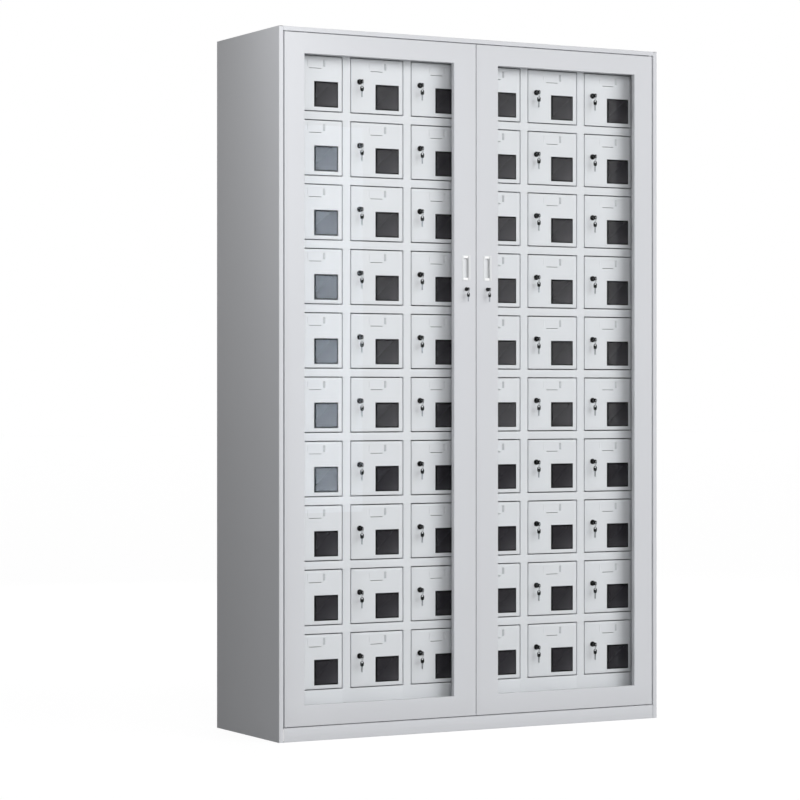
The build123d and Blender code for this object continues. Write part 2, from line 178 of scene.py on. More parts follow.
def stepRim(bm, rim, depth=0.0, spread=0.0):
    # draws a closed rim back by depth, or outwards by spread, and returns the new rim
    made = bmesh.ops.extrude_edge_only(bm, edges=rim)["geom"]
    verts = vertsIn(made)
    middle = sum((vert.co for vert in verts), Vector()) / len(verts)
    for vert in verts:
        vert.co.y += depth
        vert.co.x += math.copysign(spread, vert.co.x - middle.x)
        vert.co.z += math.copysign(spread, vert.co.z - middle.z)
    return edgesIn(made)


def foldedSheet(bm, path, reach, bend, thickness):
    # a sheet folded along path, which is its outer side, and drawn out by reach
    verts = [bm.verts.new(point) for point in path]
    edges = [bm.edges.new(pair) for pair in zip(verts, verts[1:])]
    made = bmesh.ops.extrude_edge_only(bm, edges=edges)["geom"]
    bmesh.ops.translate(bm, vec=reach, verts=vertsIn(made))
    strip = facesRound(verts)
    folds = [edge for edge in {edge for face in strip for edge in face.edges} if len(edge.link_faces) == 2]
    others = set(bm.faces) - set(strip)
    roundEdges(bm, folds, bend, facets["corner"])
    strip = [face for face in bm.faces if face not in others]
    bmesh.ops.recalc_face_normals(bm, faces=strip)
    bmesh.ops.solidify(bm, geom=strip, thickness=thickness)


def turnedShape(bm, profile, steps):
    # a profile of (radius, depth) points spun round the Y axis
    verts = [bm.verts.new((radius, depth, 0)) for radius, depth in profile]
    edges = [bm.edges.new(pair) for pair in zip(verts, verts[1:])]
    before = set(bm.faces)
    bmesh.ops.spin(bm, geom=verts + edges, cent=(0, 0, 0), axis=(0, 1, 0),
                   angle=fullTurn, steps=steps, use_merge=True)
    bmesh.ops.remove_doubles(bm, verts=bm.verts, dist=near)
    bmesh.ops.recalc_face_normals(bm, faces=[face for face in bm.faces if face not in before])


def finishFaces(verts, materialIndex):
    # all the faces round these points take that one of the piece's materials
    for face in facesRound(verts):
        face.material_index = materialIndex


def repeatUp(bm, steps):
    # copies all there is to each of these numbers of rows above it
    first = bm.verts[:] + bm.edges[:] + bm.faces[:]
    for step in steps:
        made = bmesh.ops.duplicate(bm, geom=first)["geom"]
        bmesh.ops.translate(bm, vec=(0, 0, step * rowPitch), verts=vertsIn(made))


def newPiece(name, bm, surfaces):
    # an object of this shape, with these materials
    mesh = bpy.data.meshes.new(name)
    bm.to_mesh(mesh)
    bm.free()
    for surface in surfaces:
        mesh.materials.append(surface)
    piece = bpy.data.objects.new(name, mesh)
    bpy.context.scene.collection.objects.link(piece)
    return piece


def finishPiece(name, bm, finishes, body, slotName, *replaced):
    # a visible piece that rides on a body in place of the replaced nodes
    piece = newPiece(name, bm, [materials[finish] for finish in finishes])
    piece.data.shade_smooth()
    piece.data.set_sharp_from_angle(angle=math.radians(edgeRules["sharpAngle"]))
    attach(piece, body)
    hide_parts(*replaced)


# Materials
coatGrain = {
    "cloudScale": 4.0,
    "cloudDetail": 3.0,
    "pebbleDetail": 2.0,
    "spotScale": 60.0,
    "depth": 0.05 * mm,
}
brushedGrain = {
    "mottleScale": 180.0,
    "gloss": (0.26, 0.4),
    "bump": 0.15,
    "depth": 0.02 * mm,
}


def mathNode(nodes, operation):
    node = nodes.new("ShaderNodeMath")
    node.operation = operation
    return node


def rangeNode(nodes, given=(0, 1), result=(0, 1)):
    # turns values in the range given into values in the range result
    node = nodes.new("ShaderNodeMapRange")
    for name, value in zip(("From Min", "From Max", "To Min", "To Max"), (*given, *result)):
        node.inputs[name].default_value = value
    return node


def newGroup(name, inputs):
    group = bpy.data.node_groups.new(name, "ShaderNodeTree")
    for socket, kind in inputs:
        group.interface.new_socket(socket, in_out="INPUT", socket_type=kind)
    for socket, kind in (("Color", "NodeSocketColor"), ("Roughness", "NodeSocketFloat"),
                         ("Height", "NodeSocketFloat")):
        group.interface.new_socket(socket, in_out="OUTPUT", socket_type=kind)
    return group


def buildCoatGroup():
    # cloudy shade, fine pebbled grain and uneven gloss, as on powder coat and moulded plastic
    group = newGroup("coatGrain", (
        ("Color", "NodeSocketColor"), ("Variation", "NodeSocketFloat"), ("Gloss Low", "NodeSocketFloat"),
        ("Gloss High", "NodeSocketFloat"), ("Grain Scale", "NodeSocketFloat"),
    ))
    nodes, links = group.nodes, group.links
    given = nodes.new("NodeGroupInput")
    result = nodes.new("NodeGroupOutput")
    place = nodes.new("ShaderNodeTexCoord")
    cloud = nodes.new("ShaderNodeTexNoise")
    cloud.inputs["Scale"].default_value = coatGrain["cloudScale"]
    cloud.inputs["Detail"].default_value = coatGrain["cloudDetail"]
    grain = nodes.new("ShaderNodeTexNoise")
    grain.inputs["Detail"].default_value = coatGrain["pebbleDetail"]
    spots = nodes.new("ShaderNodeTexNoise")
    spots.inputs["Scale"].default_value = coatGrain["spotScale"]
    shade = rangeNode(nodes)
    low = mathNode(nodes, "SUBTRACT")
    low.inputs[0].default_value = 1.0
    high = mathNode(nodes, "ADD")
    high.inputs[0].default_value = 1.0
    tint = nodes.new("ShaderNodeVectorMath")
    tint.operation = "SCALE"
    gloss = rangeNode(nodes)
    for texture in (cloud, grain, spots):
        links.new(place.outputs["Object"], texture.inputs["Vector"])
    links.new(given.outputs["Grain Scale"], grain.inputs["Scale"])
    links.new(given.outputs["Variation"], low.inputs[1])
    links.new(given.outputs["Variation"], high.inputs[1])
    links.new(cloud.outputs["Fac"], shade.inputs["Value"])
    links.new(low.outputs[0], shade.inputs["To Min"])
    links.new(high.outputs[0], shade.inputs["To Max"])
    links.new(given.outputs["Color"], tint.inputs[0])
    links.new(shade.outputs["Result"], tint.inputs["Scale"])
    links.new(spots.outputs["Fac"], gloss.inputs["Value"])
    links.new(given.outputs["Gloss Low"], gloss.inputs["To Min"])
    links.new(given.outputs["Gloss High"], gloss.inputs["To Max"])
    links.new(tint.outputs[0], result.inputs["Color"])
    links.new(gloss.outputs["Result"], result.inputs["Roughness"])
    links.new(grain.outputs["Fac"], result.inputs["Height"])
    return group


def buildBrushedGroup():
    # fine streaks along one way and a mottled gloss, as on plated sheet and wire
    group = newGroup("brushedGrain", (
        ("Color", "NodeSocketColor"), ("Variation", "NodeSocketFloat"), ("Streaks", "NodeSocketVector"),
    ))
    nodes, links = group.nodes, group.links
    given = nodes.new("NodeGroupInput")
    result = nodes.new("NodeGroupOutput")
    place = nodes.new("ShaderNodeTexCoord")
    stretch = nodes.new("ShaderNodeVectorMath")
    stretch.operation = "MULTIPLY"
    streaks = nodes.new("ShaderNodeTexNoise")
    streaks.inputs["Scale"].default_value = 1.0
    mottle = nodes.new("ShaderNodeTexVoronoi")
    mottle.inputs["Scale"].default_value = brushedGrain["mottleScale"]
    shade = rangeNode(nodes)
    low = mathNode(nodes, "SUBTRACT")
    low.inputs[0].default_value = 1.0
    tint = nodes.new("ShaderNodeVectorMath")
    tint.operation = "SCALE"
    gloss = rangeNode(nodes, result=brushedGrain["gloss"])
    links.new(place.outputs["Object"], stretch.inputs[0])
    links.new(given.outputs["Streaks"], stretch.inputs[1])
    links.new(stretch.outputs[0], streaks.inputs["Vector"])
    links.new(place.outputs["Object"], mottle.inputs["Vector"])
    links.new(given.outputs["Variation"], low.inputs[1])
    links.new(mottle.outputs["Distance"], shade.inputs["Value"])
    links.new(low.outputs[0], shade.inputs["To Min"])
    links.new(given.outputs["Color"], tint.inputs[0])
    links.new(shade.outputs["Result"], tint.inputs["Scale"])
    links.new(streaks.outputs["Fac"], gloss.inputs["Value"])
    links.new(tint.outputs[0], result.inputs["Color"])
    links.new(gloss.outputs["Result"], result.inputs["Roughness"])
    links.new(streaks.outputs["Fac"], result.inputs["Height"])
    return group


coatGroup = buildCoatGroup()
brushedGroup = buildBrushedGroup()


def newMaterial(name):
    material = bpy.data.materials.new(name)
    material.use_nodes = True
    nodes = material.node_tree.nodes
    return material, nodes, material.node_tree.links, nodes["Principled BSDF"]


def grainedMaterial(name, group, look, strength, depth):
    # a material whose colour, gloss and bump come from one of the shared groups
    material, nodes, links, surface = newMaterial(name)
    grain = nodes.new("ShaderNodeGroup")
    grain.node_tree = group
    grain.inputs["Color"].default_value = (*look["color"], 1)
    grain.inputs["Variation"].default_value = look["variation"]
    bump = nodes.new("ShaderNodeBump")
    bump.inputs["Strength"].default_value = strength
    bump.inputs["Distance"].default_value = depth
    links.new(grain.outputs["Color"], surface.inputs["Base Color"])
    links.new(grain.outputs["Roughness"], surface.inputs["Roughness"])
    links.new(grain.outputs["Height"], bump.inputs["Height"])
    links.new(bump.outputs["Normal"], surface.inputs["Normal"])
    return material, grain, surface


def coatedMaterial(name, look):
    # paint or plastic
    material, grain, surface = grainedMaterial(name, coatGroup, look, look["bump"], coatGrain["depth"])
    grain.inputs["Gloss Low"].default_value, grain.inputs["Gloss High"].default_value = look["gloss"]
    grain.inputs["Grain Scale"].default_value = look["grainScale"]
    surface.inputs["Specular IOR Level"].default_value = look["specular"]
    return material


def metalMaterial(name, look):
    # plated sheet or wire
    material, grain, surface = grainedMaterial(name, brushedGroup, look,
                                               brushedGrain["bump"], brushedGrain["depth"])
    grain.inputs["Streaks"].default_value = look["streaks"]
    surface.inputs["Metallic"].default_value = 1.0
    return material


glassLook = {
    "color": (0.97, 0.985, 0.98),
    "ior": 1.15,
    "smearScale": 6.0,  # wiped patches that are a touch less clear
    "smearDetail": 6.0,
    "smearRange": (0.5, 0.8),  # of the noise, over which the roughness grows
    "roughness": (0.0, 0.02),
}


def glassMaterial():
    # clear to the eye, and open to light for the lockers behind it
    material, nodes, links, surface = newMaterial("doorGlass")
    place = nodes.new("ShaderNodeTexCoord")
    smears = nodes.new("ShaderNodeTexNoise")
    smears.inputs["Scale"].default_value = glassLook["smearScale"]
    smears.inputs["Detail"].default_value = glassLook["smearDetail"]
    gloss = rangeNode(nodes, glassLook["smearRange"], glassLook["roughness"])
    surface.inputs["Base Color"].default_value = (*glassLook["color"], 1)
    surface.inputs["Transmission Weight"].default_value = 1.0
    surface.inputs["IOR"].default_value = glassLook["ior"]
    clear = nodes.new("ShaderNodeBsdfTransparent")
    path = nodes.new("ShaderNodeLightPath")
    either = mathNode(nodes, "MAXIMUM")
    mix = nodes.new("ShaderNodeMixShader")
    links.new(place.outputs["Object"], smears.inputs["Vector"])
    links.new(smears.outputs["Fac"], gloss.inputs["Value"])
    links.new(gloss.outputs["Result"], surface.inputs["Roughness"])
    links.new(path.outputs["Is Shadow Ray"], either.inputs[0])
    links.new(path.outputs["Is Diffuse Ray"], either.inputs[1])
    links.new(either.outputs[0], mix.inputs[0])
    links.new(surface.outputs[0], mix.inputs[1])
    links.new(clear.outputs[0], mix.inputs[2])
    links.new(mix.outputs[0], nodes["Material Output"].inputs["Surface"])
    return material


looks = {
    "powderCoat": {"color": (0.615, 0.625, 0.65), "variation": 0.02, "gloss": (0.40, 0.48),
                   "grainScale": 900.0, "bump": 0.25, "specular": 0.35},
    # painted light: the powder coat made lighter for the lockers, standing in for their being lit brighter
    # than the casing
    "lockerCoatPaintedLight": {"color": (0.69, 0.70, 0.725), "variation": 0.02, "gloss": (0.40, 0.48),
                   "grainScale": 900.0, "bump": 0.25, "specular": 0.35},
    "smokedPane": {"color": (0.012, 0.010, 0.014), "variation": 0.25, "gloss": (0.05, 0.09),
                   "grainScale": 40.0, "bump": 0.02, "specular": 0.5},
    # partly painted shade: the near-black seal round each window, wider at the left and top, also stands in
    # for the shade at the window's edges
    "paneSealAndShade": {"color": (0.004, 0.004, 0.004), "variation": 0.1, "gloss": (0.7, 0.8),
                 "grainScale": 1200.0, "bump": 0.3, "specular": 0.06},
    "blackPlastic": {"color": (0.006, 0.006, 0.006), "variation": 0.2, "gloss": (0.4, 0.5),
                     "grainScale": 1500.0, "bump": 0.25, "specular": 0.2},
    "palePlastic": {"color": (0.66, 0.67, 0.68), "variation": 0.02, "gloss": (0.3, 0.38),
                    "grainScale": 1400.0, "bump": 0.2, "specular": 0.5},
    # partly painted highlight: the white of a pull's end blocks also stands in for glints on the cup's ends
    "whitePlasticHighlight": {"color": (0.94, 0.94, 0.94), "variation": 0.02, "gloss": (0.25, 0.32),
                     "grainScale": 1400.0, "bump": 0.2, "specular": 0.5},
    # painted shade: the grey of the strip on a pull cup's right wall and of its head under the upper end
    # block
    "paintedShadeGrey": {"color": (0.62, 0.63, 0.64), "variation": 0.03, "gloss": (0.45, 0.55),
                    "grainScale": 1400.0, "bump": 0.2, "specular": 0.3},
    # painted light: the glazing seal's pale grey is lifted to lighten the shaded line at the top of each
    # glass opening
    "glazingSealPaintedLight": {"color": (0.66, 0.67, 0.69), "variation": 0.1, "gloss": (0.6, 0.7),
                    "grainScale": 900.0, "bump": 0.3, "specular": 0.3},
}
metalLooks = {
    "zincSteel": {"color": (0.60, 0.61, 0.62), "variation": 0.22, "streaks": (700.0, 700.0, 90.0)},
    "keySteel": {"color": (0.34, 0.35, 0.36), "variation": 0.12, "streaks": (1500.0, 1500.0, 150.0)},
}
# painted reflection: the lighter colour each pane blends into towards its lower right corner, standing in
# for a sheen
paneSheen = {
    "color": (0.085, 0.082, 0.09, 1),
    "range": (-0.7, 1.1),  # where it starts and is full, from -1 in the upper left to 1 in the lower right
    "power": 3.0,  # how gently it starts
}


def paintPaneSheen(material):
    # painted reflection: a pane's colour grows lighter towards its lower right corner, standing in for a
    # sheen
    nodes, links = material.node_tree.nodes, material.node_tree.links
    grain = next(node for node in nodes if node.type == "GROUP")
    spread = nodes.new("ShaderNodeUVMap")
    spread.uv_map = "spread"
    parts = nodes.new("ShaderNodeSeparateXYZ")
    corner = mathNode(nodes, "SUBTRACT")
    amount = rangeNode(nodes, paneSheen["range"])
    soft = mathNode(nodes, "POWER")
    soft.inputs[1].default_value = paneSheen["power"]
    blend = nodes.new("ShaderNodeMix")
    blend.data_type = "RGBA"
    colorSockets = [socket for socket in blend.inputs if socket.type == "RGBA"]
    colorSockets[0].default_value = grain.inputs["Color"].default_value
    colorSockets[1].default_value = paneSheen["color"]
    links.new(spread.outputs["UV"], parts.inputs[0])
    links.new(parts.outputs["X"], corner.inputs[0])
    links.new(parts.outputs["Y"], corner.inputs[1])
    links.new(corner.outputs[0], amount.inputs["Value"])
    links.new(amount.outputs["Result"], soft.inputs[0])
    links.new(soft.outputs[0], blend.inputs["Factor"])
    links.new(next(socket for socket in blend.outputs if socket.type == "RGBA"), grain.inputs["Color"])


materials = {name: coatedMaterial(name, look) for name, look in looks.items()}
materials.update({name: metalMaterial(name, look) for name, look in metalLooks.items()})
materials["doorGlass"] = glassMaterial()
paintPaneSheen(materials["smokedPane"])
print("materials ready:", len(materials))


# Casing: folded sheet panels and the plinth rails that it stands on
casing = {
    "sheet": 1.0 * mm,
    "bend": 1.2 * mm,
    "sideFlange": 12.8 * mm,
    "topFlange": 12.0 * mm,
    "rearFlange": 12.0 * mm,
    "flangeReturn": 20.0 * mm,
}


def sidePanel(nodeName, pieceName, side):
    low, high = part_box(nodeName)
    outer = low[0] if side < 0 else high[0]
    front, rear, top = low[1], high[1], high[2]
    flangeX = outer - side * casing["sideFlange"]
    path = [
        (flangeX, front + casing["flangeReturn"], low[2]),
        (flangeX, front, low[2]),
        (outer, front, low[2]),
        (outer, rear, low[2]),
        (outer - side * casing["rearFlange"], rear, low[2]),
    ]
    bm = bmesh.new()
    foldedSheet(bm, path, (0, 0, top - low[2]), casing["bend"], casing["sheet"])
    finishPiece(pieceName, bm, ["powderCoat"], "cabinet", "powder_coat", nodeName)


def topPanel():
    low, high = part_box("top_panel")
    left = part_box("side_panel_left")[0][0] + casing["sideFlange"]
    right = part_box("side_panel_right")[1][0] - casing["sideFlange"]
    front, rear, top = low[1], high[1], high[2]
    flangeZ = top - casing["topFlange"]
    path = [
        (left, front + casing["flangeReturn"], flangeZ),
        (left, front, flangeZ),
        (left, front, top),
        (left, rear, top),
        (left, rear, flangeZ),
    ]
    bm = bmesh.new()
    foldedSheet(bm, path, (right - left, 0, 0), casing["bend"], casing["sheet"])
    for start, end in ((low[0], left), (right, high[0])):  # the lid's ends, over the side flanges
        boxShape(bm, (start, front, top - casing["sheet"]), (end, rear, top))
    finishPiece("lid", bm, ["powderCoat"], "cabinet", "powder_coat", "top_panel")


def plinthRails():
    (left, front, bottom), (right, rear, top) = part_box("plinth_rails")
    bm = bmesh.new()
    for webY, lipY in ((front, front + casing["flangeReturn"]), (rear, rear - casing["flangeReturn"])):
        path = [(left, lipY, bottom), (left, webY, bottom), (left, webY, top), (left, lipY, top)]
        foldedSheet(bm, path, (right - left, 0, 0), casing["bend"], casing["sheet"])
    finishPiece("plinth", bm, ["powderCoat"], "cabinet", "powder_coat", "plinth_rails")


sidePanel("side_panel_left", "leftSide", -1)
sidePanel("side_panel_right", "rightSide", 1)
topPanel()
plinthRails()
print("casing done")


# Locker front: one face of posts and rails with a folded return round each opening
lockerFront = {
    "ease": 0.8 * mm,  # a touch more room round each door
    "sheet": 1.0 * mm,
    "return": 14.0 * mm,
    "corner": 2.5 * mm,
    "bend": 1.0 * mm,
}


def openingRect(columnName, row):
    low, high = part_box(f"{columnName}_doors")
    room = grid["gap"] + lockerFront["ease"]
    left = low[0] - room
    right = high[0] + room
    bottom = low[2] - room + row * rowPitch
    return left, right, bottom, bottom + grid["leafHeight"] + 2 * room


def buildLockerFront():
    low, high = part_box("locker_posts")
    bm = bmesh.new()
    sheetShape(bm, low[0], high[0], low[2], high[2], low[1])
    sides = []
    for name in columnNames:
        for row in range(grid["rows"]):
            rim = cutHole(bm, low[1], openingRect(name, row))
            made = stepRim(bm, rim, depth=lockerFront["return"])
            sides += depthEdges({vert for edge in made for vert in edge.verts})
    roundEdges(bm, sides, lockerFront["corner"], facets["corner"])
    roundFolds(bm, low[1], lockerFront["bend"], facets["bend"])
    bmesh.ops.recalc_face_normals(bm, faces=bm.faces)
    bmesh.ops.solidify(bm, geom=bm.faces[:], thickness=lockerFront["sheet"])
    finishPiece("lockerFront", bm, ["lockerCoatPaintedLight"], "cabinet", "powder_coat", "locker_posts", "locker_rails")


buildLockerFront()
print("locker front done")


# Locker doors: pressed leaves with a window, lips for a name card and a turned-in edge
leaf = {
    "sheet": 1.0 * mm,
    "return": 12.0 * mm,
    "corner": 2.5 * mm,
    "bend": 1.0 * mm,
    "cardLeft": 52.2 * mm,  # from the opening's left edge
    "cardWidth": 50.0 * mm,
    "cardDrop": 11.4 * mm,  # from the opening's top edge
    "cardHeight": 23.6 * mm,
    "lugSheet": 0.6 * mm,
    "lugBend": 0.2 * mm,
    "lugLip": 0.1 * mm,  # how far behind the leaf's face a lug's own edge stops
    "lugHeight": 18.0 * mm,
    "leftLug": (4.6 * mm, 0.7 * mm),  # width, and depth at its inner edge
    "rightLug": (8.0 * mm, 7.5 * mm),
    "bottomSlot": (37.0 * mm, 1.4 * mm),
}
pane = {
    "overlap": 4.0 * mm,
    "height": 77.0 * mm,
    # the seal strips, wider at the left and top, are partly painted shade at the window's edges
    "sealShadeLeft": 6.0 * mm,
    "sealShadeRight": 2.4 * mm,
    "sealShadeTop": 4.6 * mm,
    "sealShadeBottom": 3.8 * mm,
    "sealShadeSink": 0.2 * mm,  # behind the leaf's face
    "sealShadeEdge": 0.15 * mm,
}


def paneRect(columnName):
    low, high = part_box(f"{columnName}_windows")
    return low[0], high[0], low[2], low[2] + pane["height"]


def windowRect(columnName):
    left, right, bottom, top = paneRect(columnName)
    return left + pane["overlap"], right - pane["overlap"], bottom + pane["overlap"], top - pane["overlap"]


def lugShape(bm, inner, outer, depth, bottom, top):
    # a pressed lug: flush at its outer edge, and sunk behind the sheet at its inner one
    path = [(outer, leafY, bottom), (inner, leafY + depth, bottom), (inner, leafY + leaf["lugLip"], bottom)]
    foldedSheet(bm, path, (0, 0, top - bottom), leaf["lugBend"], leaf["lugSheet"])


def leafShape(bm, columnName):
    low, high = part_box(f"{columnName}_doors")
    bottom = low[2]
    top = bottom + grid["leafHeight"]
    sheetShape(bm, low[0], high[0], bottom, top, leafY)
    cardLeft = low[0] - grid["gap"] + leaf["cardLeft"]
    cardRight = cardLeft + leaf["cardWidth"]
    cardTop = top + grid["gap"] - leaf["cardDrop"]
    cardBottom = cardTop - leaf["cardHeight"]
    lugBottom = cardTop - leaf["lugHeight"]
    leftWidth, leftDepth = leaf["leftLug"]
    rightWidth, rightDepth = leaf["rightLug"]
    slotLength, slotHeight = leaf["bottomSlot"]
    middle = (cardLeft + leftWidth + cardRight) / 2
    cutHole(bm, leafY, windowRect(columnName))
    cutHole(bm, leafY, (cardLeft, cardLeft + leftWidth, lugBottom, cardTop))
    cutHole(bm, leafY, (cardRight, cardRight + rightWidth, lugBottom, cardTop))
    cutHole(bm, leafY, (middle - slotLength / 2, middle + slotLength / 2,
                        cardBottom, cardBottom + slotHeight))
    borders = bordersOf((low[0], high[0], bottom, top))
    rim = [edge for edge in bm.edges
           if len(edge.link_faces) == 1 and any(liesAt(edge, axis, place) for axis, place in borders)]
    made = stepRim(bm, rim, depth=leaf["return"])
    corners = [side for side in depthEdges({vert for edge in made for vert in edge.verts})
               if sum(liesAt(side, axis, place) for axis, place in borders) == 2]
    roundEdges(bm, corners, leaf["corner"], facets["corner"])
    roundFolds(bm, leafY, leaf["bend"], facets["bend"])
    bmesh.ops.recalc_face_normals(bm, faces=bm.faces)
    bmesh.ops.solidify(bm, geom=bm.faces[:], thickness=leaf["sheet"])
    lugShape(bm, cardLeft + leftWidth, cardLeft, leftDepth, lugBottom, cardTop)
    lugShape(bm, cardRight, cardRight + rightWidth, rightDepth, lugBottom, cardTop)


def paneShape(bm, columnName):
    left, right, bottom, top = paneRect(columnName)
    low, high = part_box(f"{columnName}_windows")
    boxShape(bm, (left, low[1], bottom), (right, high[1], top))
    spread = bm.loops.layers.uv.new("spread")  # 0 to 1 over the pane, for its painted reflection sheen
    for face in bm.faces:
        for loop in face.loops:
            place = loop.vert.co
            loop[spread].uv = ((place.x - left) / (right - left), (place.z - bottom) / (top - bottom))
    known = set(bm.verts)
    wLeft, wRight, wBottom, wTop = windowRect(columnName)
    sealShadeFront = leafY + pane["sealShadeSink"]
    innerLeft, innerRight = wLeft + pane["sealShadeLeft"], wRight - pane["sealShadeRight"]
    # near-black seal strips, wider at the left and top: partly painted shade at the window's edges
    for stripLow, stripHigh in (
        ((wLeft, wBottom), (innerLeft, wTop)),
        ((innerRight, wBottom), (wRight, wTop)),
        ((innerLeft, wTop - pane["sealShadeTop"]), (innerRight, wTop)),
        ((innerLeft, wBottom), (innerRight, wBottom + pane["sealShadeBottom"])),
    ):
        boxShape(bm, (stripLow[0], sealShadeFront, stripLow[1]), (stripHigh[0], low[1], stripHigh[1]),
                 pane["sealShadeEdge"])
    finishFaces(newVerts(bm, known), 1)


for name in columnNames:
    bm = bmesh.new()
    leafShape(bm, name)
    repeatUp(bm, range(1, grid["rows"]))
    finishPiece(f"{name}Leaves", bm, ["lockerCoatPaintedLight"], name, "powder_coat", f"{name}_doors")
    bm = bmesh.new()
    paneShape(bm, name)
    repeatUp(bm, range(1, grid["rows"]))
    finishPiece(f"{name}Panes", bm, ["smokedPane", "paneSealAndShade"], name, "smoked_pane", f"{name}_windows")
print("locker doors done")


# Cam locks and keys: each is made with its axis on Y and its seat at the origin
lock = {
    "bezelRadius": 7.5 * mm,
    "bezelProud": 3.0 * mm,
    "bezelEdge": 0.7 * mm,
    "mouthEdge": (0.4 * mm, 0.5 * mm),  # how far the bezel's mouth flares out, and how deep
    "caseRadius": 6.0 * mm,
    "plugRadius": 4.45 * mm,
    "plugRoom": 0.1 * mm,
    "plugSink": 0.2 * mm,  # behind the bezel's face
    "plugEdge": 0.4 * mm,
    "nutRadius": 9.5 * mm,
    "nutThickness": 3.0 * mm,
    "nutSides": 6,
    "camWidth": 11.0 * mm,
    "camThickness": 1.5 * mm,
    "camRun": 1.3 * mm,
    "camRound": 0.6,  # of half its width
    "screwRadius": 2.6 * mm,
    "screwRim": 0.1 * mm,
    "screwSteps": 12,
    "steps": 20,
}
keys = {
    "bowLength": 15.0 * mm,
    "bowWidth": 11.0 * mm,
    "bowThickness": 1.8 * mm,
    "holeRadius": 2.5 * mm,
    "holeFromEnd": 3.4 * mm,
    "bladeLength": 15.0 * mm,
    "bladeWidth": 4.4 * mm,
    "bladeThickness": 1.4 * mm,
    "bladeShowing": 4.5 * mm,
    "bladeRoot": 0.5 * mm,  # how far the blade runs into the bow
    "bladeNotch": 0.6 * mm,
    "notchCuts": 5,
    "notchFirst": 0.4,  # shares of the blade's length
    "notchStep": 0.12,
    "edge": 0.35 * mm,
    "edgeAngle": 60,
    "spareDrop": 12.6 * mm,
    "spareSide": -1.4 * mm,  # how the hanging key rests to the side, and back towards the door
    "spareBack": 2.0 * mm,
    "wire": 0.5 * mm,
    "wireSteps": 6,
    "ringSteps": 20,
    "ringTurn": 45.0,
    "outline": 16,
}
keyReach = lock["bezelProud"] + keys["bladeShowing"] + keys["bowLength"]
lockFinishes = ["blackPlastic", "keySteel", "zincSteel"]


def keyShape(bm):
    # a key with its bow up, the top of the bow at the origin, flat to the front
    known = set(bm.verts)
    half = keys["bowThickness"] / 2
    outline = bmesh.ops.create_circle(bm, segments=keys["outline"], radius=keys["bowWidth"] / 2)["verts"]
    hole = bmesh.ops.create_circle(bm, segments=keys["outline"], radius=keys["holeRadius"])["verts"]
    bmesh.ops.rotate(bm, matrix=turnX, verts=outline + hole)
    bmesh.ops.translate(bm, vec=(0, half, -keys["bowWidth"] / 2), verts=outline)
    bmesh.ops.translate(bm, vec=(0, half, -keys["holeFromEnd"]), verts=hole)
    for vert in outline:
        if vert.co.z < -keys["bowWidth"] / 2 - near:
            vert.co.z -= keys["bowLength"] - keys["bowWidth"]
    flat = bmesh.ops.bridge_loops(bm, edges=edgesRound(outline + hole))["faces"]
    made = bmesh.ops.extrude_face_region(bm, geom=flat)["geom"]
    bmesh.ops.translate(bm, vec=(0, -keys["bowThickness"], 0), verts=vertsIn(made))
    bow = newVerts(bm, known)
    bmesh.ops.recalc_face_normals(bm, faces=facesRound(bow))
    sharp = [edge for edge in edgesRound(bow) if isFold(edge, keys["edgeAngle"])]
    roundEdges(bm, sharp, keys["edge"], facets["chamfer"])
    beforeBlade = set(bm.verts)
    boxShape(
        bm,
        (-keys["bladeWidth"] / 2, -keys["bladeThickness"] / 2, -keys["bowLength"] - keys["bladeLength"]),
        (keys["bladeWidth"] / 2, keys["bladeThickness"] / 2, -keys["bowLength"] + keys["bladeRoot"]),
    )
    for index in range(keys["notchCuts"]):
        height = -keys["bowLength"] - keys["bladeLength"] * (keys["notchFirst"] + keys["notchStep"] * index)
        verts = newVerts(bm, beforeBlade)
        cut = bmesh.ops.bisect_plane(bm, geom=verts + edgesRound(verts) + facesRound(verts),
                                     plane_co=(0, 0, height), plane_no=(0, 0, 1), dist=planeNear)["geom_cut"]
        if index % 2 == 0:  # every other cut is a notch
            for vert in vertsIn(cut):
                if vert.co.x > 0:
                    vert.co.x -= keys["bladeNotch"]
    finishFaces(newVerts(bm, beforeBlade), 1)
    return newVerts(bm, known)


def ringShape(bm):
    # the wire ring through both bows
    top = -(keys["holeRadius"] - keys["wire"])
    bottom = -keys["spareDrop"] - keys["holeFromEnd"] + keys["holeRadius"] - keys["wire"]
    radius = (top - bottom) / 2
    known = set(bm.verts)
    section = bmesh.ops.create_circle(bm, segments=keys["wireSteps"], radius=keys["wire"])["verts"]
    bmesh.ops.translate(bm, vec=(radius, 0, 0), verts=section)
    bmesh.ops.rotate(bm, matrix=turnX, verts=section)
    bmesh.ops.spin(bm, geom=section + edgesRound(section), cent=(0, 0, 0), axis=(0, 0, 1),
                   angle=fullTurn, steps=keys["ringSteps"], use_merge=True)
    ring = newVerts(bm, known)
    bmesh.ops.rotate(bm, matrix=turnX, verts=ring)
    bmesh.ops.rotate(bm, matrix=Matrix.Rotation(math.radians(keys["ringTurn"]), 3, "Z"), verts=ring)
    hang = Vector((keys["spareSide"], keys["spareBack"], bottom - top))
    lean = Vector((0, 0, -1)).rotation_difference(hang).to_matrix()
    bmesh.ops.rotate(bm, matrix=lean, verts=ring)
    bmesh.ops.translate(bm, vec=hang / 2 + Vector((0, -keyReach + keys["holeFromEnd"], top)), verts=ring)
    bmesh.ops.recalc_face_normals(bm, faces=facesRound(ring))
    finishFaces(ring, 1)


def spareShape(bm):
    # the spare key on its ring
    ringShape(bm)
    verts = keyShape(bm)
    bmesh.ops.translate(bm, vec=(keys["spareSide"], -keyReach + keys["holeFromEnd"] + keys["spareBack"],
                                 -keys["spareDrop"]), verts=verts)


